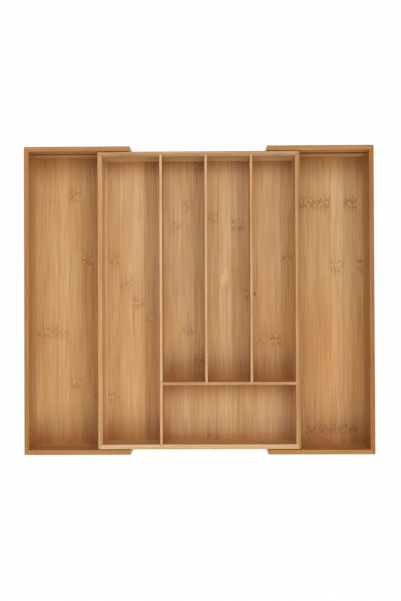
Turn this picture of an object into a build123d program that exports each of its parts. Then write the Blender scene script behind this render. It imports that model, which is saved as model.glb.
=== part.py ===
from build123d import *
import os

# Expanding bamboo cutlery tray, in millimetres.
# X runs left to right, Y front to back and Z up. The origin is on the drawer bottom, under the middle.
# A centre tray with five bays stands on the floors of two wings, which slide out from under it.
# Everything is drawn with both wings pulled out to their stops.

# Whole tray
tray_height = 60.0
tray_depth = 450.0
centre_width = 295.5

# Travel and running gaps of the wings
wing_travel = 99.5
closed_side_gap = 1.0
closed_meeting_gap = 1.0
slide_side_gap = 0.9
slide_floor_gap = 0.3

# Boards of the wings
wing_wall = 7.0
wing_floor_thickness = 3.5
wing_floor_lip = 2.5

# Boards of the centre tray
centre_wall = 7.0
centre_floor_thickness = 4.0
centre_floor_lip = 6.7
divider_thickness = 4.0
cross_divider_thickness = 4.6

# Bays of the centre tray: each narrow bay's clear width, and the clear depth of the bay in front of them
narrow_bay_width = 62.0
front_bay_depth = 86.0

# Joinery: panels in grooves, dividers in housings, and the gap of every glued joint
panel_groove_depth = 3.0
housing_depth = 2.5
divider_housing_depth = 1.2
joint_gap = 0.05

# Runners glued to the centre tray, and the stopped grooves in the wings that they slide in
runner_height = 9.6
runner_middle_height = 34.0
runner_engagement = 3.0
runner_setback = 2.0
runner_bottom_gap = 0.3
runner_side_gap = 0.2
stop_gap = 0.3
stop_wood = 10.0

# Eased edges
arris_radius = 0.7
corner_radius = 1.2
runner_arris_radius = 0.5

# How far a cut runs past the wood
overrun = 1.0

# Faces of the wings, right side and back half
wing_outer_y = tray_depth / 2
wing_inner_y = wing_outer_y - wing_wall
wing_inner_x = centre_width / 2 + closed_side_gap + wing_travel
wing_outer_x = wing_inner_x + wing_wall
wing_end_x = wing_travel + closed_meeting_gap / 2
wing_floor_top = wing_floor_lip + wing_floor_thickness

# Faces of the centre tray
centre_outer_x = centre_width / 2
centre_inner_x = centre_outer_x - centre_wall
centre_outer_y = wing_inner_y - slide_side_gap
centre_inner_y = centre_outer_y - centre_wall
centre_base = wing_floor_top + slide_floor_gap
centre_floor_base = centre_base + centre_floor_lip
centre_floor_top = centre_floor_base + centre_floor_thickness
centre_wall_height = tray_height - centre_base

# The corner joint: a side wall's end is rabbeted to half its thickness, and the cross wall seats in it
wing_rabbet = wing_wall / 2
centre_rabbet = centre_wall / 2

# Dividers, counted from the right wall. A divider's place is that of its middle plane
bay_pitch = narrow_bay_width + divider_thickness
right_divider_x = centre_inner_x - narrow_bay_width - divider_thickness / 2
middle_divider_x = right_divider_x - bay_pitch
long_divider_x = middle_divider_x - bay_pitch
cross_divider_y = front_bay_depth + cross_divider_thickness / 2 - centre_inner_y
divider_base = centre_floor_top + joint_gap
divider_height = tray_height - divider_base

# Runner and groove. The groove stops short of the wing wall's free end, which keeps the wing captive
groove_stop_x = wing_end_x + stop_wood
groove_height = runner_height + 2 * runner_side_gap
groove_depth = runner_engagement + runner_bottom_gap
runner_start_x = groove_stop_x + stop_gap
runner_length = centre_outer_x - runner_setback - runner_start_x
runner_thickness = slide_side_gap + runner_engagement - joint_gap


def write(builder, name):
    """Labels a finished piece and writes its file."""
    builder.part.label = name
    export_step(builder.part, f"parts/{name}.step")


def mirrored(builder, plane):
    """The same piece on the other side of a plane."""
    with BuildPart() as copy:
        mirror(builder.part, about=plane)
    return copy


def wall_section(thickness, height, groove_base, groove_width):
    """Cross-section of a wall, standing on its base line with its inner face on the local Y axis."""
    Rectangle(thickness, height, align=Align.MIN)
    fillet(vertices().group_by(Axis.Y)[-1], arris_radius)
    with Locations((0, groove_base)):
        Rectangle(panel_groove_depth, groove_width, align=Align.MIN, mode=Mode.SUBTRACT)


def rabbet_cuts(inner_x, rabbet, inner_y, outer_y):
    """Plan of the two rabbets at the ends of a right side wall."""
    length = outer_y - inner_y + joint_gap + overrun
    middle_y = inner_y - joint_gap + length / 2
    with Locations((inner_x - overrun, middle_y), (inner_x - overrun, -middle_y)):
        Rectangle(rabbet + overrun, length, align=(Align.MIN, Align.CENTER))


def wing_outer_wall():
    """The right wing's outer wall, which runs the whole depth and holds the two cross walls in its rabbets."""
    with BuildPart() as wall:
        face_plane = Plane((wing_inner_x, wing_outer_y, 0), x_dir=(1, 0, 0), z_dir=(0, -1, 0))
        with BuildSketch(face_plane):
            wall_section(
                wing_wall, tray_height, wing_floor_lip - joint_gap, wing_floor_thickness + 2 * joint_gap
            )
        extrude(amount=tray_depth)
        fillet(wall.edges().filter_by(Axis.Z).group_by(Axis.X)[-1], corner_radius)
        with BuildSketch(Plane.XY.offset(-overrun)):
            rabbet_cuts(wing_inner_x, wing_rabbet, wing_inner_y, wing_outer_y)
        extrude(amount=tray_height + 2 * overrun, mode=Mode.SUBTRACT)
    return wall


def wing_cross_wall():
    """The right wing's back wall, with the floor's groove and the stopped groove for a runner."""
    with BuildPart() as wall:
        with BuildSketch(Plane.YZ.offset(wing_end_x) * Pos(wing_inner_y, 0)):
            wall_section(
                wing_wall, tray_height, wing_floor_lip - joint_gap, wing_floor_thickness + 2 * joint_gap
            )
        extrude(amount=wing_inner_x + wing_rabbet - joint_gap - wing_end_x)
        free_end = wall.faces().filter_by(Axis.X).sort_by(Axis.X)[0]
        fillet(free_end.edges().filter_by(Axis.Z).group_by(Axis.Y)[-1], arris_radius)
        with BuildSketch(Plane.YZ.offset(groove_stop_x)):
            with Locations((wing_inner_y - overrun, runner_middle_height)):
                Rectangle(groove_depth + overrun, groove_height, align=(Align.MIN, Align.CENTER))
        extrude(amount=wing_outer_x - groove_stop_x, mode=Mode.SUBTRACT)
    return wall


def wing_floor():
    """The right wing's floor panel, grooved into three walls and free along its inner edge."""
    engagement = panel_groove_depth - joint_gap
    with BuildPart() as floor:
        with BuildSketch(Plane.XY.offset(wing_floor_lip)):
            with Locations((wing_end_x, 0)):
                Rectangle(
                    wing_inner_x + engagement - wing_end_x,
                    2 * (wing_inner_y + engagement),
                    align=(Align.MIN, Align.CENTER),
                )
        extrude(amount=wing_floor_thickness)
        free_edge = floor.edges().filter_by(Axis.Y).group_by(Axis.X)[0].sort_by(Axis.Z)[-1]
        fillet(free_edge, arris_radius)
    return floor


def centre_side_wall(has_housing):
    """The centre tray's right wall. The left one has no housing for the cross divider."""
    with BuildPart() as wall:
        section_plane = Plane((centre_inner_x, centre_outer_y, centre_base), x_dir=(1, 0, 0), z_dir=(0, -1, 0))
        with BuildSketch(section_plane):
            wall_section(
                centre_wall,
                centre_wall_height,
                centre_floor_lip - joint_gap,
                centre_floor_thickness + 2 * joint_gap,
            )
        extrude(amount=2 * centre_outer_y)
        fillet(wall.edges().filter_by(Axis.Z).group_by(Axis.X)[-1], corner_radius)
        with BuildSketch(Plane.XY):
            rabbet_cuts(centre_inner_x, centre_rabbet, centre_inner_y, centre_outer_y)
        extrude(amount=tray_height + overrun, mode=Mode.SUBTRACT)
        if has_housing:
            with BuildSketch(Plane.XY.offset(centre_floor_top)):
                with Locations((centre_inner_x - overrun, cross_divider_y)):
                    Rectangle(
                        housing_depth + overrun,
                        cross_divider_thickness + 2 * joint_gap,
                        align=(Align.MIN, Align.CENTER),
                    )
            extrude(amount=centre_wall_height, mode=Mode.SUBTRACT)
    return wall


def centre_cross_wall(housing_places):
    """The centre tray's back wall, with a housing for each divider that ends in it."""
    length = 2 * (centre_inner_x + centre_rabbet - joint_gap)
    with BuildPart() as wall:
        with BuildSketch(Plane.YZ.offset(-length / 2) * Pos(centre_inner_y, centre_base)):
            wall_section(
                centre_wall,
                centre_wall_height,
                centre_floor_lip - joint_gap,
                centre_floor_thickness + 2 * joint_gap,
            )
        extrude(amount=length)
        with BuildSketch(Plane.XY.offset(centre_floor_top)):
            with Locations([(x, centre_inner_y - overrun) for x in housing_places]):
                Rectangle(
                    divider_thickness + 2 * joint_gap,
                    housing_depth + overrun,
                    align=(Align.CENTER, Align.MIN),
                )
        extrude(amount=centre_wall_height, mode=Mode.SUBTRACT)
    return wall


def centre_floor():
    """The floor panel of the centre tray, held in a groove all round."""
    engagement = panel_groove_depth - joint_gap
    with BuildPart() as floor:
        with BuildSketch(Plane.XY.offset(centre_floor_base)):
            Rectangle(2 * (centre_inner_x + engagement), 2 * (centre_inner_y + engagement))
        extrude(amount=centre_floor_thickness)
    return floor


def divider_section(thickness):
    """Cross-section of a divider, standing on its base line, with its top edges eased."""
    Rectangle(thickness, divider_height, align=(Align.CENTER, Align.MIN))
    fillet(vertices().group_by(Axis.Y)[-1], arris_radius)


def depth_divider(x, front_y, back_y):
    """A divider that runs front to back, with its middle plane at x."""
    with BuildPart() as divider:
        plane = Plane((x, back_y, divider_base), x_dir=(1, 0, 0), z_dir=(0, -1, 0))
        with BuildSketch(plane):
            divider_section(divider_thickness)
        extrude(amount=back_y - front_y)
    return divider


def long_divider():
    """The divider between the long left bay and the rest, with a housing for the cross divider."""
    end_y = centre_inner_y + housing_depth - joint_gap
    plain = depth_divider(long_divider_x, -end_y, end_y)
    with BuildPart() as divider:
        add(plain.part)
        with BuildSketch(Plane.XY):
            with Locations((long_divider_x + divider_thickness / 2 + overrun, cross_divider_y)):
                Rectangle(
                    divider_housing_depth + overrun,
                    cross_divider_thickness + 2 * joint_gap,
                    align=(Align.MAX, Align.CENTER),
                )
        extrude(amount=tray_height + overrun, mode=Mode.SUBTRACT)
    return divider


def cross_divider():
    """The divider in front of the three narrow bays, with housings for the two short dividers."""
    start_x = long_divider_x + divider_thickness / 2 - divider_housing_depth + joint_gap
    end_x = centre_inner_x + housing_depth - joint_gap
    back_y = cross_divider_y + cross_divider_thickness / 2
    with BuildPart() as divider:
        with BuildSketch(Plane.YZ.offset(start_x) * Pos(cross_divider_y, divider_base)):
            divider_section(cross_divider_thickness)
        extrude(amount=end_x - start_x)
        with BuildSketch(Plane.XY):
            with Locations([(x, back_y + overrun) for x in (middle_divider_x, right_divider_x)]):
                Rectangle(
                    divider_thickness + 2 * joint_gap,
                    divider_housing_depth + overrun,
                    align=(Align.CENTER, Align.MAX),
                )
        extrude(amount=tray_height + overrun, mode=Mode.SUBTRACT)
    return divider


def short_divider(x):
    """A divider between two narrow bays, from the cross divider to the back wall."""
    front_y = cross_divider_y + cross_divider_thickness / 2 - divider_housing_depth + joint_gap
    return depth_divider(x, front_y, centre_inner_y + housing_depth - joint_gap)


def runner():
    """The runner at the back right: a short strip glued to the centre tray, whose inner end meets the stop."""
    with BuildPart() as strip:
        with BuildSketch(Plane.YZ.offset(runner_start_x)):
            with Locations((centre_outer_y + joint_gap, runner_middle_height)):
                Rectangle(runner_thickness, runner_height, align=(Align.MIN, Align.CENTER))
            fillet(vertices().group_by(Axis.X)[-1], runner_arris_radius)
        extrude(amount=runner_length)
    return strip


os.makedirs("parts", exist_ok=True)

# The right wing, and the left one as its mirror image
right_back = wing_cross_wall()
right_wing = {
    "outer_wall": wing_outer_wall(),
    "back_wall": right_back,
    "front_wall": mirrored(right_back, Plane.XZ),
    "floor": wing_floor(),
}
for piece_name, piece in right_wing.items():
    write(piece, f"right_wing_{piece_name}")
    write(mirrored(piece, Plane.YZ), f"left_wing_{piece_name}")

# The shell of the centre tray
write(centre_side_wall(True), "centre_right_wall")
write(mirrored(centre_side_wall(False), Plane.YZ), "centre_left_wall")
write(centre_cross_wall((long_divider_x, middle_divider_x, right_divider_x)), "centre_back_wall")
write(mirrored(centre_cross_wall((long_divider_x,)), Plane.XZ), "centre_front_wall")
write(centre_floor(), "centre_floor")

# Its dividers
write(long_divider(), "long_divider")
write(cross_divider(), "cross_divider")
write(short_divider(middle_divider_x), "left_short_divider")
write(short_divider(right_divider_x), "right_short_divider")

# Its four runners
back_right_runner = runner()
front_right_runner = mirrored(back_right_runner, Plane.XZ)
write(back_right_runner, "back_right_runner")
write(front_right_runner, "front_right_runner")
write(mirrored(back_right_runner, Plane.YZ), "back_left_runner")
write(mirrored(front_right_runner, Plane.YZ), "front_left_runner")
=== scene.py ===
import math

import bpy
from mathutils import Euler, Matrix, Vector


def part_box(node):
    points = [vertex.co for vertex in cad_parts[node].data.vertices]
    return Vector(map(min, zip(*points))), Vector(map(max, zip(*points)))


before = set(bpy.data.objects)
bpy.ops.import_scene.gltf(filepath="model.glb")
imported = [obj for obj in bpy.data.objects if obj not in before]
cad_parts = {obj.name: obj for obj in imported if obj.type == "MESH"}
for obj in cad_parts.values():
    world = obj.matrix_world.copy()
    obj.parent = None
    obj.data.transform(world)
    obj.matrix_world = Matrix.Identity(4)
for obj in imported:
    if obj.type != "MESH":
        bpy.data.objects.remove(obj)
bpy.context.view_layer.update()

# The tray keeps its CAD solids. This script gives each board its bamboo, and adds the floor, light and
# camera. Lengths are in metres. The boards' colours are sRGB, 0 to 255, and a tint is what a linear colour is
# multiplied by. A WIDTH, LENGTH or REACH is a hill's: what it marks fades to a tenth at one and a half times
# that distance.

MM = 0.001

# Camera, fitted to the edges of the tray in the photograph
CAMERA_PLACE = (17.7 * MM, -12.5 * MM, 1278.7 * MM)
CAMERA_TURN_DEG = (0.550, 0.723, -0.234)
FOCAL_PIXELS = 836.9
IMAGE_LONG_SIDE = 601
SENSOR_MM = 36.0
NEAREST_SEEN, FURTHEST_SEEN = 0.01, 50.0

# Light: a pale dome, and four square soft lamps, each with its place, its side and how much of full light it
# gives the level tray
DOME_STRENGTH = 0.32
SOFTBOXES = (
    ("right_softbox", (1.90, 0.0, 3.29), 1.6, 0.29),
    ("front_softbox", (0.0, -1.60, 1.50), 1.0, 0.175),
    ("back_softbox", (0.0, 1.15, 1.90), 1.0, 0.10),
    ("left_softbox", (-1.15, 0.0, 1.90), 1.0, 0.12),
)

# Background, seen as white. What the floor's white share leaves keeps the tray's shadow.
WHITE = (1.0, 1.0, 1.0, 1.0)
FULL_STRENGTH = 1.0
FLOOR_GREY = (0.86, 0.86, 0.86, 1.0)
FLOOR_HALF_SIDE = 6.0
FLOOR_WHITE_SHARE = 0.975

# Thickness of the boards, as the CAD solids have it
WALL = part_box("left_wing_outer_wall")[1].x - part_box("left_wing_outer_wall")[0].x
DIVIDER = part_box("right_short_divider")[1].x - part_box("right_short_divider")[0].x

# Strips that the boards are glued from. A wall's first strip starts at one of so many whole millimetres.
CENTRE_FLOOR_STRIP = 18.7 * MM
LEFT_WING_STRIP = 18.0 * MM
RIGHT_WING_STRIP = 19.7 * MM
WALL_STRIP = 20.0 * MM
WALL_STRIP_STARTS = 7
WALL_TONE, WALL_TONE_RANGE = 0.5, 0.16
GLUE_LINE_WIDTH = 0.45 * MM
GLUE_SHARE = 0.22
FIRST_WALL_SEED, FIRST_FLOOR_SEED = 1, 47

# Wood about its base colour
DARK_TINT = (0.74, 0.53, 0.22, 1.0)
LIGHT_TINT = (1.26, 1.47, 1.78, 1.0)
MARK_TINT = (0.56, 0.31, 0.11, 1.0)
SPECK_TINT = (1.30, 1.48, 1.72, 1.0)
YELLOW_TINT = (1.00, 1.00, 0.94, 1.0)
PINK_TINT = (1.01, 0.99, 1.04, 1.0)
AMBER_TINT = (1.00, 0.975, 0.92, 1.0)
PALE_TINT = (1.00, 1.005, 1.04, 1.0)
END_TINT = (0.80, 0.73, 0.62, 1.0)
# The edge tint is painted shade on the rim's rounded outer edge, which turns away from the light
EDGE_SHADE_TINT = (0.70, 0.67, 0.64, 1.0)

# Streaks in the wood, by their waves in a metre along the grain and across it. Strips' seeds fill a span.
FIBRE_WAVES = (28.0, 1000.0)
LINE_WAVES = (10.0, 370.0)
BAND_WAVES = (7.0, 130.0)
BLOTCH_WAVES = (9.0, 32.0)
HUE_WAVES = (8.0, 95.0)
WIDE_HUE_WAVES = (6.0, 26.0)
RAGGED_WAVES = (40.0, 330.0)
SPECK_WAVES = (290.0, 390.0)
NOISE_DETAIL, NOISE_ROUGHNESS = 2.0, 0.5
CELL_SEED_SPAN = 37.0

# How far each kind of streak moves the tone, the noise levels between which a hue drifts from one tint to the
# other, and how far a strip leans to one of the wide hues
FIBRE_WEIGHT, LINE_WEIGHT, BAND_WEIGHT, BLOTCH_WEIGHT = 0.83, 0.77, 0.20, 0.58
HUE_LEVELS = (0.36, 0.64)
WIDE_HUE_LEVELS = (0.33, 0.67)
STRIP_HUE_RANGE = 0.20

# Node marks on the walls
NODE_SPACING = 230 * MM
WALL_MARK_STRENGTH = 0.6

# Shape of a node mark: it bows across its strip, and its body is wider where it is stronger. Levels are the
# noise levels, about 0.5 for a line and about 0 for a speck, between which what they mark grows from none to
# full.
MARK_BOW, MARK_RAGGEDNESS = 1.5 * MM, 13.0 * MM
BODY_WIDTH, BODY_GROWTH = 4.4 * MM, 3.0 * MM
ROW_PLACE, UPPER_ROW_WIDTH, LOWER_ROW_WIDTH = 5.5 * MM, 1.2 * MM, 1.4 * MM
TAIL_LENGTH, TAIL_LINE_LEVELS = 19.0 * MM, (0.62, 0.38)
DARK_SPECK_LEVELS, LIGHT_SPECK_LEVELS = (0.02, -0.11), (0.02, 0.12)
BODY_SHARE, DARK_SPECK_SHARE, ROW_SHARE, TAIL_SHARE, LIGHT_SPECK_SHARE = 0.12, 0.34, 0.10, 0.14, 0.36

# A pale flame, in place of a mark. It leans by so many strips in a metre, and its middle and width are shares
# of its strip.
FLAME_LEAN, FLAME_MIDDLE, FLAME_WIDTH = -12.0, 0.42, 0.30
FLAME_RAGGEDNESS, FLAME_LENGTH = 22.0 * MM, 11.5 * MM
FLAME_SPECK_LEVELS, FLAME_SPECK_SHARE, FLAME_SHARE = (0.09, -0.09), 0.80, 0.60
HALO_LENGTH, HALO_SHARE = 17.0 * MM, 0.09

# Satin lacquer, and the relief under it
ROUGHNESS, LINE_ROUGHNESS = 0.42, 0.12
FIBRE_RELIEF, LINE_RELIEF, MARK_RELIEF = 0.6, 0.4, 0.5
BUMP_STRENGTH, BUMP_DISTANCE = 0.12, 0.1 * MM
SPECULAR_LEVEL = 0.20
COAT_WEIGHT, COAT_ROUGHNESS = 0.30, 0.22

# Walls. Slopes are the upward or lengthwise parts of a surface's direction, between which a rim, an outer
# edge or an end begins and is full. The outer skin, which has the rim's colours, begins and is full at two
# depths.
RIM_SLOPES, EDGE_SLOPES, END_SLOPES = (0.55, 0.95), (0.1, 0.5), (0.7, 0.95)
OUTER_SKIN_DEPTHS = (1.2 * MM, 1.0 * MM)
# Width of the painted shade along a rim's outer edge
EDGE_WIDTH = 1.1 * MM
# Reach and share of the painted shade at both ends of a wall's faces, if the wall runs front to back
FACE_SHADE_REACH, FACE_SHADE_SHARE = 23 * MM, 0.55

# Painted shade darkens the slide grooves, between depths at which they begin and end
BACK_GROOVE_SHADE_TINT = (0.42, 0.30, 0.20, 1.0)
FRONT_GROOVE_SHADE_TINT = (0.90, 0.80, 0.70, 1.0)
GROOVE_MARGIN = 0.7 * MM
GROOVE_MOUTH_DEPTHS, GROOVE_BOTTOM_DEPTHS = (0.2 * MM, 0.5 * MM), (5.0 * MM, 4.5 * MM)

# Painted shade darkens a bay's ends too. At the front end there is more of it at the left, and less right at
# the wall. Some bays have warmer painted shade in their front half or at their left side.
PAINTED_SHADE_TINT = (0.72, 0.48, 0.25, 1.0)
PAINTED_BACK_SHADE_TINT = (0.63, 0.50, 0.33, 1.0)
PAINTED_WARM_SHADE_TINT = (0.97, 0.86, 0.74, 1.0)
SHADE_AT_RIGHT, SHADE_GAIN_AT_LEFT = 0.71, 0.36
FRONT_WALL_REACH, FRONT_WALL_SHARE = 4 * MM, -0.3
FRONT_HALF_PLACES = (45 * MM, -45 * MM)
LEFT_SIDE_REACH = 14 * MM
BAY_MARGIN = 2 * MM

# Painted shade of each bay: the reach of its front shade and of its back shade, and how warm its front half
# and its left side are. A narrow bay is named by the board at its right.
LONG_BAY = (23 * MM, 17 * MM, 0.45, 0.0)
FRONT_BAY = (14 * MM, 21 * MM, 0.0, 0.85)
NARROW_BAYS = (
    ("left_short_divider", (26 * MM, 16 * MM, 0.45, 0.15)),
    ("right_short_divider", (26 * MM, 16 * MM, 0.0, 0.40)),
    ("centre_right_wall", (26 * MM, 16 * MM, 0.45, 0.55)),
)
LEFT_WING_BAY = (23 * MM, 27 * MM, 0.0, 0.0)
RIGHT_WING_BAY = (19 * MM, 27 * MM, 1.0, 0.0)

# Where each floor's first strip starts, and its strips from left to right: tone from 0 to 1, then the places
# of its one or two node marks, as shares of the floor's length from front to back, and how strong they are.
# A mark is missing where its share is under the least. A strip has a pale flame in place of its mark where
# its strength is PALE_MARK, above the strongest dark mark's.
NO_MARK, LEAST_MARK_SHARE = 0.0, 0.005
PALE_MARK, STRONGEST_DARK_MARK = 3.0, 2.5
CENTRE_FLOOR_START = -157.1 * MM
CENTRE_FLOOR_SHARES = (
    (0.85, 0.300, NO_MARK, 0.5),
    (0.49, 0.648, 0.162, 0.9),
    (0.55, 0.563, NO_MARK, 1.0),
    (0.58, 0.495, NO_MARK, 1.0),
    (0.34, 0.438, NO_MARK, 0.8),
    (0.51, 0.612, 0.055, 0.8),
    (0.53, 0.767, 0.260, 0.9),
    (0.54, 0.835, 0.398, 0.8),
    (0.44, 0.977, 0.291, 1.2),
    (0.53, 0.792, 0.020, 0.9),
    (0.64, 0.578, NO_MARK, PALE_MARK),
    (0.50, 0.766, NO_MARK, 1.2),
    (0.49, 0.525, NO_MARK, 1.5),
    (0.49, 0.362, NO_MARK, 0.7),
    (0.53, 0.362, NO_MARK, 1.4),
    (0.38, 0.649, NO_MARK, 1.1),
)
LEFT_WING_START = -251.5 * MM
# The sixth and seventh strips, by the centre tray, are darker partly as painted shade from the tray's shadow
LEFT_WING_SHARES = (
    (0.56, 0.393, NO_MARK, 1.0),
    (0.57, 0.393, NO_MARK, 1.0),
    (0.58, 0.386, NO_MARK, 0.9),
    (0.48, 0.863, 0.217, 1.1),
    (0.36, 0.641, NO_MARK, 1.4),
    (0.22, 0.177, 0.636, 0.9),
    (0.44, 0.710, 0.130, 1.0),
    (0.58, 0.480, NO_MARK, 1.0),
    (0.50, 0.900, NO_MARK, 1.0),
)
RIGHT_WING_START = 101.3 * MM
# The strips next to the outer wall are lighter, partly as painted light that lifts the wall's shadow
RIGHT_WING_SHARES = (
    (0.50, 0.560, NO_MARK, 1.0),
    (0.42, 0.250, 0.800, 1.1),
    (0.40, 0.834, NO_MARK, 1.5),
    (0.505, 0.834, 0.056, 1.5),
    (0.50, 0.834, 0.056, 1.5),
    (0.60, 0.616, 0.060, 1.3),
    (0.63, 0.834, 0.060, 1.4),
    (0.54, 0.620, NO_MARK, 1.8),
)


def linear(colour):
    """Linear RGBA of an sRGB colour given as 0 to 255."""
    shares = [c / 255 for c in colour]
    return [s / 12.92 if s <= 0.04045 else ((s + 0.055) / 1.055) ** 2.4 for s in shares] + [1.0]


class Tree:
    """A node tree being built. Each call adds nodes, and links or sets their inputs."""

    def __init__(self, tree):
        self.tree = tree

    def feed(self, socket, value):
        if isinstance(value, bpy.types.NodeSocket):
            self.tree.links.new(value, socket)
        else:
            socket.default_value = value

    def add(self, kind, inputs=None, **settings):
        node = self.tree.nodes.new(kind)
        for name, value in settings.items():
            setattr(node, name, value)
        for key, value in (inputs or {}).items():
            self.feed(node.inputs[key], value)
        return node

    def math(self, operation, *values):
        return self.add("ShaderNodeMath", dict(enumerate(values)), operation=operation).outputs[0]

    def product(self, result, *factors):
        for factor in factors:
            result = self.math("MULTIPLY", result, factor)
        return result

    def centred(self, value):
        """A value from 0 to 1, as its distance from the middle."""
        return self.math("SUBTRACT", value, 0.5)

    def vector(self, x, y, z):
        return self.add("ShaderNodeCombineXYZ", {0: x, 1: y, 2: z}).outputs[0]

    def parts(self, vector):
        """A vector's three numbers."""
        return self.add("ShaderNodeSeparateXYZ", {0: vector}).outputs

    def noise(self, vector, w):
        inputs = {
            "Vector": vector,
            "W": w,
            "Scale": 1.0,
            "Detail": NOISE_DETAIL,
            "Roughness": NOISE_ROUGHNESS,
        }
        return self.add("ShaderNodeTexNoise", inputs, noise_dimensions="4D").outputs[0]

    def spread(self, value, none, full):
        """0 at and beyond the one level and 1 at and beyond the other, straight between them."""
        inputs = {"Value": value, "From Min": none, "From Max": full}
        return self.add("ShaderNodeMapRange", inputs).outputs[0]

    def hill(self, value, width):
        """1 where value is 0, falling smoothly to a tenth one and a half widths away."""
        ratio = self.math("DIVIDE", value, width)
        return self.math("EXPONENT", self.product(ratio, ratio, -1.0))

    def mix(self, factor, first, second, blend="MIX"):
        """Two colours mixed. The node's sockets 6 and 7 and its output 2 are those for colours."""
        inputs = {0: factor, 6: first, 7: second}
        return self.add("ShaderNodeMix", inputs, data_type="RGBA", blend_type=blend).outputs[2]

    def tint(self, share, colour, tint):
        return self.mix(share, colour, tint, "MULTIPLY")


def node_mark(t, given, strength, ragged, speck, line):
    """The dark and the light of a node mark: mottled between two faint ragged rows, with a faint tail of
    streaks each way."""
    bow = t.math("SINE", t.math("MULTIPLY", given["Strip Share"], math.pi))
    distance = t.math("MULTIPLY_ADD", bow, MARK_BOW, given["Mark Distance"])
    distance = t.math("MULTIPLY_ADD", ragged, MARK_RAGGEDNESS, distance)
    body = t.hill(distance, t.math("MULTIPLY_ADD", strength, BODY_GROWTH, BODY_WIDTH))
    upper_row = t.hill(t.math("SUBTRACT", distance, ROW_PLACE), UPPER_ROW_WIDTH)
    lower_row = t.hill(t.math("ADD", distance, ROW_PLACE), LOWER_ROW_WIDTH)
    tail = t.product(t.hill(given["Mark Distance"], TAIL_LENGTH), t.spread(line, *TAIL_LINE_LEVELS))
    dark_specks = t.spread(speck, *DARK_SPECK_LEVELS)
    dark = t.product(body, t.math("MULTIPLY_ADD", dark_specks, DARK_SPECK_SHARE, BODY_SHARE))
    dark = t.math("MULTIPLY_ADD", t.math("ADD", upper_row, lower_row), ROW_SHARE, dark)
    dark = t.math("MULTIPLY_ADD", tail, TAIL_SHARE, dark)
    light = t.product(body, t.spread(speck, *LIGHT_SPECK_LEVELS), LIGHT_SPECK_SHARE)
    return dark, light


def pale_flame(t, given, ragged, speck):
    """A pale flame that leans across its strip, and the faint dark halo about it."""
    across = t.math("MULTIPLY_ADD", given["Mark Distance"], FLAME_LEAN, given["Strip Share"])
    along = t.math("MULTIPLY_ADD", ragged, FLAME_RAGGEDNESS, given["Mark Distance"])
    flame = t.product(
        t.hill(t.math("SUBTRACT", across, FLAME_MIDDLE), FLAME_WIDTH),
        t.hill(along, FLAME_LENGTH),
        t.math("MULTIPLY_ADD", t.spread(speck, *FLAME_SPECK_LEVELS), FLAME_SPECK_SHARE, FLAME_SHARE),
    )
    halo = t.product(t.hill(given["Mark Distance"], HALO_LENGTH), t.math("SUBTRACT", 1.0, flame))
    return flame, halo


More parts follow.
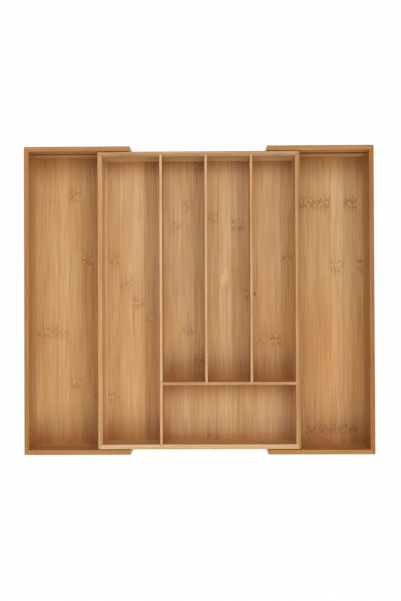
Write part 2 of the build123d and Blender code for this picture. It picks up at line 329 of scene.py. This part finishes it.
def make_bamboo_group():
    """Bamboo at real scale: streaks along the grain, the marks of the culm's nodes, and glue lines."""
    group = bpy.data.node_groups.new("bamboo", "ShaderNodeTree")
    numbers = ("Along", "Across", "Depth", "Cell", "Tone", "Mark Distance", "Mark Strength", "Strip Share",
               "Glue Line")
    for name in numbers:
        group.interface.new_socket(name=name, in_out="INPUT", socket_type="NodeSocketFloat")
    group.interface.new_socket(name="Base", in_out="INPUT", socket_type="NodeSocketColor")
    group.interface.new_socket(name="Color", in_out="OUTPUT", socket_type="NodeSocketColor")
    for name in ("Roughness", "Height"):
        group.interface.new_socket(name=name, in_out="OUTPUT", socket_type="NodeSocketFloat")
    t = Tree(group)
    given = t.add("NodeGroupInput").outputs
    seed = t.math("MULTIPLY", given["Cell"], CELL_SEED_SPAN)

    def streaks(waves):
        """Noise about 0.5, drawn out along the grain."""
        along, across = waves
        place = t.vector(
            t.math("MULTIPLY", given["Along"], along),
            t.math("MULTIPLY", given["Across"], across),
            t.math("MULTIPLY", given["Depth"], across),
        )
        return t.noise(place, seed)

    def tinted(tint):
        return t.tint(1.0, given["Base"], tint)

    # Wood: the strip's own tone with the streaks about it, and hues that drift along it
    fibre, line, band, blotch = (streaks(w) for w in (FIBRE_WAVES, LINE_WAVES, BAND_WAVES, BLOTCH_WAVES))
    tone = given["Tone"]
    weights = ((fibre, FIBRE_WEIGHT), (line, LINE_WEIGHT), (band, BAND_WEIGHT), (blotch, BLOTCH_WEIGHT))
    for streak, weight in weights:
        tone = t.math("MULTIPLY_ADD", t.centred(streak), weight, tone)
    wood = t.mix(tone, tinted(DARK_TINT), tinted(LIGHT_TINT))
    hue = t.spread(streaks(HUE_WAVES), *HUE_LEVELS)
    wood = t.tint(1.0, wood, t.mix(hue, YELLOW_TINT, PINK_TINT))
    leaning = t.math("MULTIPLY_ADD", t.centred(given["Cell"]), STRIP_HUE_RANGE, streaks(WIDE_HUE_WAVES))
    wood = t.tint(1.0, wood, t.mix(t.spread(leaning, *WIDE_HUE_LEVELS), AMBER_TINT, PALE_TINT))

    # Node mark or pale flame, and glue line
    mark_wood, speck_wood = tinted(MARK_TINT), tinted(SPECK_TINT)
    ragged, speck = t.centred(streaks(RAGGED_WAVES)), t.centred(streaks(SPECK_WAVES))
    is_pale = t.math("GREATER_THAN", given["Mark Strength"], STRONGEST_DARK_MARK)
    strength = t.product(given["Mark Strength"], t.math("SUBTRACT", 1.0, is_pale))
    dark, light = node_mark(t, given, strength, ragged, speck, line)
    flame, halo = pale_flame(t, given, ragged, speck)
    layers = (
        (t.product(dark, strength), mark_wood),
        (t.product(light, strength), speck_wood),
        (t.product(halo, is_pale, HALO_SHARE), mark_wood),
        (t.product(flame, is_pale), speck_wood),
        (t.product(given["Glue Line"], GLUE_SHARE), mark_wood),
    )
    for share, layer_wood in layers:
        wood = t.mix(share, wood, layer_wood)

    relief = t.math("MULTIPLY_ADD", fibre, FIBRE_RELIEF, t.product(line, LINE_RELIEF))
    out = t.add("NodeGroupOutput")
    t.feed(out.inputs["Color"], wood)
    t.feed(out.inputs["Roughness"], t.math("MULTIPLY_ADD", line, LINE_ROUGHNESS, ROUGHNESS))
    t.feed(out.inputs["Height"], t.math("SUBTRACT", relief, t.product(dark, MARK_RELIEF)))
    return group


def strip_place(t, coordinate, start, width):
    """Number of the strip that a coordinate is in, its share of the way across, and its glue line's mask."""
    strips = t.math("DIVIDE", t.math("SUBTRACT", coordinate, start), width)
    number = t.math("FLOOR", strips)
    share = t.math("SUBTRACT", strips, number)
    edge_share = t.math("SUBTRACT", 0.5, t.math("ABSOLUTE", t.centred(share)))
    return number, share, t.hill(t.product(edge_share, width), GLUE_LINE_WIDTH)


def random_value(t, x, y, z):
    node = t.add("ShaderNodeTexWhiteNoise", {"Vector": t.vector(x, y, z)}, noise_dimensions="3D")
    return node.outputs["Value"], node.outputs["Color"]


def empty_tree(owner):
    """The node tree of a material or world, cleared."""
    owner.use_nodes = True
    owner.node_tree.nodes.clear()
    return Tree(owner.node_tree)


def new_board_material(name):
    """An empty material, its tree, and the place on the board."""
    material = bpy.data.materials.new(name)
    t = empty_tree(material)
    return material, t, t.parts(t.add("ShaderNodeTexCoord").outputs["Object"])


def bamboo_node(t, **inputs):
    node = t.add("ShaderNodeGroup", node_tree=BAMBOO)
    for name, value in inputs.items():
        t.feed(node.inputs[name.replace("_", " ").title()], value)
    return node


def finish_material(t, bamboo):
    """Shader of a satin lacquered board."""
    relief = {"Height": bamboo.outputs["Height"], "Strength": BUMP_STRENGTH, "Distance": BUMP_DISTANCE}
    shader = t.add("ShaderNodeBsdfPrincipled", {
        "Base Color": bamboo.outputs["Color"],
        "Roughness": bamboo.outputs["Roughness"],
        "Specular IOR Level": SPECULAR_LEVEL,
        "Coat Weight": COAT_WEIGHT,
        "Coat Roughness": COAT_ROUGHNESS,
        "Normal": t.add("ShaderNodeBump", relief).outputs[0],
    })
    t.add("ShaderNodeOutputMaterial", {"Surface": shader.outputs[0]})


def face_colour(t, place, name, axis, thickness, top, foot):
    """Wall faces: painted light towards the foot, and painted shade at both ends if running front to back."""
    floor = "left_wing_floor" if "wing" in name else "centre_floor"
    # Painted light: the faces are lighter towards the foot, as from light bounced off the floor
    up = t.spread(place[2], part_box(floor)[1].z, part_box("centre_left_wall")[1].z)
    face = t.mix(up, linear(foot), linear(top))
    if axis == 1:
        inset = WALL if thickness == WALL else 0.0
        ends = (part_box(name)[0].y + inset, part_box(name)[1].y - inset)
        # Painted shade at the face's front and back ends
        near_front, near_back = (t.hill(t.math("SUBTRACT", place[1], y), FACE_SHADE_REACH) for y in ends)
        near_end = t.product(t.math("ADD", near_front, near_back), FACE_SHADE_SHARE)
        face = t.tint(near_end, face, PAINTED_SHADE_TINT)
    return face


def wall_colour(t, place, name, axis, across, thickness, rim_in, rim_out, face_top, face_foot):
    """Base colour of a wall: its plies' own on the rim and outside, darker along the outer edge as painted
    shade, darker on the ends, and its faces' elsewhere."""
    low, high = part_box(name)
    outside = max(abs(low[across]), abs(high[across]))
    from_middle = t.math("ABSOLUTE", place[across])
    slope = t.parts(t.add("ShaderNodeNewGeometry").outputs["True Normal"])
    outer_ply = t.math("GREATER_THAN", from_middle, outside - thickness / 2)
    rim = t.mix(outer_ply, linear(rim_in), linear(rim_out))
    outer_skin = 0.0
    if thickness == WALL:
        outer_skin = t.spread(from_middle, *(outside - depth for depth in OUTER_SKIN_DEPTHS))
        # Painted shade along the rim's rounded outer edge
        near_edge = t.hill(t.math("SUBTRACT", from_middle, outside), EDGE_WIDTH)
        rim = t.tint(t.product(near_edge, t.spread(slope[2], *EDGE_SLOPES)), rim, EDGE_SHADE_TINT)
    on_end = t.spread(t.math("ABSOLUTE", slope[axis]), *END_SLOPES)
    rim = t.tint(on_end, rim, END_TINT)
    on_rim = t.spread(slope[2], *RIM_SLOPES)
    rim_share = t.math("MAXIMUM", t.math("MAXIMUM", on_rim, outer_skin), on_end)
    return t.mix(rim_share, face_colour(t, place, name, axis, thickness, face_top, face_foot), rim)


def groove_shade(t, place, name):
    """1 inside the slide groove of a wing's back or front wall, and 0 elsewhere."""
    runner_low, runner_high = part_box("back_left_runner")
    middle = (runner_low.z + runner_high.z) / 2
    half_height = (runner_high.z - runner_low.z) / 2 + GROOVE_MARGIN
    low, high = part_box(name)
    depth = t.math("SUBTRACT", t.math("ABSOLUTE", place[1]), min(abs(low.y), abs(high.y)))
    in_height = t.math("LESS_THAN", t.math("ABSOLUTE", t.math("SUBTRACT", place[2], middle)), half_height)
    in_depth = t.product(t.spread(depth, *GROOVE_MOUTH_DEPTHS), t.spread(depth, *GROOVE_BOTTOM_DEPTHS))
    return t.product(in_height, in_depth)


def wall_material(name, grain, thickness, seed, *colours):
    """An upright board with its grain along X or Y, made of strips one above the other and two plies."""
    material, t, place = new_board_material(name)
    axis, across = (0, 1) if grain == "x" else (1, 0)
    along, depth, height = place[axis], place[across], place[2]
    base = wall_colour(t, place, name, axis, across, thickness, *colours)
    # Painted shade in the slide grooves of the wings' back and front walls
    if "wing_back" in name or "wing_front" in name:
        tint = BACK_GROOVE_SHADE_TINT if "back" in name else FRONT_GROOVE_SHADE_TINT
        base = t.tint(groove_shade(t, place, name), base, tint)
    strip, share, strip_line = strip_place(t, height, seed % WALL_STRIP_STARTS * MM, WALL_STRIP)
    ply, _, ply_line = strip_place(t, depth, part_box(name)[0][across], thickness / 2)
    value, colour = random_value(t, strip, ply, seed)
    tone = t.math("MULTIPLY_ADD", t.centred(value), WALL_TONE_RANGE, WALL_TONE)
    offset = t.add("ShaderNodeSeparateColor", {0: colour}).outputs["Green"]
    turns = t.math("ADD", t.math("DIVIDE", along, NODE_SPACING), offset)
    mark_distance = t.product(t.centred(t.math("FRACT", turns)), NODE_SPACING)
    bamboo = bamboo_node(t, along=along, across=height, depth=depth, cell=value, tone=tone, base=base,
                         mark_distance=mark_distance, mark_strength=WALL_MARK_STRENGTH, strip_share=share,
                         glue_line=t.math("MAXIMUM", strip_line, ply_line))
    finish_material(t, bamboo)
    return material


def strip_table(t, number, rows):
    """Looks up a strip's row by its number, as the four channels of one stepped ramp."""
    count = len(rows)
    at = t.math("DIVIDE", t.math("ADD", number, 0.5), count)
    ramp = t.add("ShaderNodeValToRGB", {0: at})
    ramp.color_ramp.interpolation = "CONSTANT"
    steps = ramp.color_ramp.elements
    while len(steps) < count:
        steps.new(0.5)
    for i, row in enumerate(rows):
        steps[i].position = i / count
        steps[i].color = row
    tone, first, second = t.add("ShaderNodeSeparateColor", {0: ramp.outputs["Color"]}).outputs
    return tone, first, second, ramp.outputs["Alpha"]


def with_painted_shade(t, place, colour, bays):
    """A floor's colour with the painted shade of its bays."""
    x, y = place[0], place[1]
    for (low_x, high_x, low_y, high_y), (front_reach, back_reach, front_warm_shade, left_warm_shade) in bays:
        in_bay = t.product(
            t.math("GREATER_THAN", x, low_x),
            t.math("LESS_THAN", x, high_x),
            t.math("GREATER_THAN", y, low_y - BAY_MARGIN),
            t.math("LESS_THAN", y, high_y + BAY_MARGIN),
        )
        from_front, from_left = t.math("SUBTRACT", y, low_y), t.math("SUBTRACT", x, low_x)
        near_wall = t.hill(from_front, FRONT_WALL_REACH)
        front = t.math("MULTIPLY_ADD", near_wall, FRONT_WALL_SHARE, t.hill(from_front, front_reach))
        sideways = t.math("MULTIPLY_ADD", t.spread(x, high_x, low_x), SHADE_GAIN_AT_LEFT, SHADE_AT_RIGHT)
        # Painted shade: warmer in the front half and by the left side, and darker at the front and back ends.
        layers = (
            (t.product(t.spread(y, *FRONT_HALF_PLACES), front_warm_shade), PAINTED_WARM_SHADE_TINT),
            (t.product(t.hill(from_left, LEFT_SIDE_REACH), left_warm_shade), PAINTED_WARM_SHADE_TINT),
            (t.product(front, sideways), PAINTED_SHADE_TINT),
            (t.hill(t.math("SUBTRACT", high_y, y), back_reach), PAINTED_BACK_SHADE_TINT),
        )
        for share, tint in layers:
            colour = t.tint(t.product(in_bay, share), colour, tint)
    return colour


def floor_material(name, base, start, width, rows, bays, seed):
    """A floor panel of strips side by side, each with its own tone and node marks."""
    material, t, place = new_board_material(name)
    low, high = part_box(name)
    number, share, glue = strip_place(t, place[0], start, width)
    tone, first, second, strength = strip_table(t, number, rows)
    value, _ = random_value(t, number, 0.0, seed)

    def distance_to(mark_share):
        """Distance to a mark. One that isn't there is a metre further off."""
        mark_place = t.math("MULTIPLY_ADD", mark_share, high.y - low.y, low.y)
        missing = t.math("LESS_THAN", mark_share, LEAST_MARK_SHARE)
        return t.math("ADD", t.math("SUBTRACT", place[1], mark_place), missing)

    to_first, to_second = distance_to(first), distance_to(second)
    second_is_nearer = t.math("LESS_THAN", t.math("ABSOLUTE", to_second), t.math("ABSOLUTE", to_first))
    gap = t.math("SUBTRACT", to_second, to_first)
    mark_distance = t.math("MULTIPLY_ADD", gap, second_is_nearer, to_first)
    bamboo = bamboo_node(t, along=place[1], across=place[0], depth=place[2], cell=value, tone=tone,
                         base=with_painted_shade(t, place, linear(base), bays), mark_distance=mark_distance,
                         mark_strength=strength, strip_share=share, glue_line=glue)
    finish_material(t, bamboo)
    return material


def centre_bays():
    """The centre tray's five bays, each with its limits at left, right, front and back, and its painted
    shade.
    """
    left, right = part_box("centre_left_wall")[1].x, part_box("centre_right_wall")[0].x
    front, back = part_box("centre_front_wall")[1].y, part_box("centre_back_wall")[0].y
    cross_front, cross_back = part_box("cross_divider")[0].y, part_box("cross_divider")[1].y
    long_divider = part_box("long_divider")
    bays = [
        ((left, long_divider[0].x, front, back), LONG_BAY),
        ((long_divider[1].x, right, front, cross_front), FRONT_BAY),
    ]
    start = long_divider[1].x
    for divider, painted_shade in NARROW_BAYS:
        low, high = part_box(divider)
        bays.append(((start, low.x, cross_back, back), painted_shade))
        start = high.x
    return bays


def wing_bay(side, painted_shade):
    """A wing's one bay, between its back, front and outer walls."""
    wall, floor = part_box(f"{side}_wing_outer_wall"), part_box(f"{side}_wing_floor")
    front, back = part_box(f"{side}_wing_front_wall")[1].y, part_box(f"{side}_wing_back_wall")[0].y
    low_x, high_x = (wall[1].x, floor[1].x) if side == "left" else (floor[0].x, wall[0].x)
    return [((low_x, high_x, front, back), painted_shade)]


def dress(name, material):
    """Gives a CAD node its material in every slot."""
    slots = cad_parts[name].material_slots
    for slot in slots:
        slot.material = material
    if not slots:
        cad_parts[name].data.materials.append(material)


def dress_walls():
    """Walls, dividers and runners, each with its grain's axis, its thickness and four colours: the rim's
    inner and outer ply, then the faces' top and foot."""
    # Faces' top and foot colours are partly painted light: lighter than the rims and towards the foot,
    # lifting their shade, and lighter on the centre left wall, which the light from the right falls on.
    wing_top, wing_foot = (192, 137, 74), (225, 184, 134)
    centre_top, centre_foot = (203, 154, 98), (232, 198, 154)
    divider_top, divider_foot = (192, 142, 90), (210, 168, 118)
    runner = (160, 112, 64)
    walls = (
        ("centre_left_wall", "y", WALL, (205, 158, 106), (205, 158, 106), (217, 176, 115), (240, 213, 169)),
        ("centre_right_wall", "y", WALL, (199, 148, 92), (178, 128, 70), centre_top, centre_foot),
        ("centre_back_wall", "x", WALL, (180, 130, 80), (202, 161, 118), (202, 165, 117), (233, 212, 175)),
        ("centre_front_wall", "x", WALL, (213, 174, 123), (214, 178, 130), (206, 158, 100), (230, 192, 146)),
        ("long_divider", "y", DIVIDER, (224, 188, 140), (224, 188, 140), divider_top, divider_foot),
        ("cross_divider", "x", DIVIDER, (200, 148, 95), (200, 148, 95), divider_top, divider_foot),
        ("left_short_divider", "y", DIVIDER, (223, 184, 140), (223, 184, 140), divider_top, divider_foot),
        ("right_short_divider", "y", DIVIDER, (212, 169, 123), (212, 169, 123), divider_top, divider_foot),
        ("back_left_runner", "x", DIVIDER, runner, runner, runner, runner),
        ("back_right_runner", "x", DIVIDER, runner, runner, runner, runner),
        ("front_left_runner", "x", DIVIDER, runner, runner, runner, runner),
        ("front_right_runner", "x", DIVIDER, runner, runner, runner, runner),
        ("left_wing_outer_wall", "y", WALL, (180, 123, 60), (180, 123, 60), wing_top, wing_foot),
        ("left_wing_back_wall", "x", WALL, (190, 136, 80), (197, 147, 95), (199, 145, 83), (231, 191, 143)),
        ("left_wing_front_wall", "x", WALL, (186, 134, 79), (186, 134, 79), wing_top, wing_foot),
        ("right_wing_outer_wall", "y", WALL, (169, 103, 39), (163, 103, 37), (172, 116, 61), (210, 167, 119)),
        ("right_wing_back_wall", "x", WALL, (183, 129, 70), (183, 129, 70), (206, 149, 82), (239, 196, 141)),
        ("right_wing_front_wall", "x", WALL, (185, 130, 66), (185, 130, 66), wing_top, wing_foot),
    )
    for seed, (name, grain, thickness, *colours) in enumerate(walls, start=FIRST_WALL_SEED):
        dress(name, wall_material(name, grain, thickness, float(seed), *colours))


def dress_floors():
    """The three floor panels, each with its colour, its strips and its bays."""
    centre, left, right = (203, 160, 108), (201, 156, 99), (202, 159, 103)
    left_bay, right_bay = wing_bay("left", LEFT_WING_BAY), wing_bay("right", RIGHT_WING_BAY)
    floors = (
        ("centre_floor", centre, CENTRE_FLOOR_START, CENTRE_FLOOR_STRIP, CENTRE_FLOOR_SHARES, centre_bays()),
        ("left_wing_floor", left, LEFT_WING_START, LEFT_WING_STRIP, LEFT_WING_SHARES, left_bay),
        ("right_wing_floor", right, RIGHT_WING_START, RIGHT_WING_STRIP, RIGHT_WING_SHARES, right_bay),
    )
    for seed, (name, base, start, width, rows, bays) in enumerate(floors, start=FIRST_FLOOR_SEED):
        dress(name, floor_material(name, base, start, width, rows, bays, float(seed)))


def new_object(name, data):
    made = bpy.data.objects.new(name, data)
    bpy.context.scene.collection.objects.link(made)
    return made


def seen_directly(t):
    """1 for rays from the camera, from gloss and through glass, which see the background as white."""
    rays = t.add("ShaderNodeLightPath").outputs
    shine = t.math("MAXIMUM", rays["Is Glossy Ray"], rays["Is Transmission Ray"])
    return t.math("MAXIMUM", rays["Is Camera Ray"], shine)


def white_floor():
    """A pale floor that the camera sees as white, with the tray's shadow kept faintly."""
    half = FLOOR_HALF_SIDE
    corners = [(-half, -half, 0), (half, -half, 0), (half, half, 0), (-half, half, 0)]
    mesh = bpy.data.meshes.new("floor")
    mesh.from_pydata(corners, [], [(0, 1, 2, 3)])
    floor = new_object("floor", mesh)
    material = bpy.data.materials.new("white_floor")
    t = empty_tree(material)
    diffuse = t.add("ShaderNodeBsdfDiffuse", {"Color": FLOOR_GREY}).outputs[0]
    white = t.add("ShaderNodeEmission", {"Color": WHITE, "Strength": FULL_STRENGTH}).outputs[0]
    white_share = t.product(seen_directly(t), FLOOR_WHITE_SHARE)
    shown = t.add("ShaderNodeMixShader", {0: white_share, 1: diffuse, 2: white}).outputs[0]
    t.add("ShaderNodeOutputMaterial", {"Surface": shown})
    mesh.materials.append(material)


def studio_world():
    """An even pale dome. The camera, gloss and glass see it as white."""
    world = bpy.data.worlds.new("studio")
    bpy.context.scene.world = world
    t = empty_tree(world)
    dome = t.add("ShaderNodeBackground", {"Color": WHITE, "Strength": DOME_STRENGTH}).outputs[0]
    seen = t.add("ShaderNodeBackground", {"Color": WHITE, "Strength": FULL_STRENGTH}).outputs[0]
    shown = t.add("ShaderNodeMixShader", {0: seen_directly(t), 1: dome, 2: seen}).outputs[0]
    t.add("ShaderNodeOutputWorld", {"Surface": shown})


def softbox(name, place, side, level):
    """A square soft lamp turned to the tray. Its energy gives a level surface there so much of full light."""
    place = Vector(place)
    slope = place.normalized().z
    data = bpy.data.lights.new(name, "AREA")
    data.shape = "SQUARE"
    data.size = side
    data.energy = math.pi ** 2 * level * place.length_squared / slope
    lamp = new_object(name, data)
    lamp.location = place
    lamp.rotation_euler = place.to_track_quat("Z", "Y").to_euler()


def add_camera():
    """The photograph's view, straight down on the tray."""
    data = bpy.data.cameras.new("camera")
    data.sensor_width = SENSOR_MM
    data.lens = FOCAL_PIXELS * SENSOR_MM / IMAGE_LONG_SIDE
    data.clip_start, data.clip_end = NEAREST_SEEN, FURTHEST_SEEN
    camera = new_object("camera", data)
    camera.location = CAMERA_PLACE
    camera.rotation_euler = Euler([math.radians(angle) for angle in CAMERA_TURN_DEG])
    bpy.context.scene.camera = camera


bpy.context.scene.view_settings.view_transform = "Standard"
BAMBOO = make_bamboo_group()
dress_walls()
dress_floors()
white_floor()
studio_world()
for softbox_row in SOFTBOXES:
    softbox(*softbox_row)
add_camera()
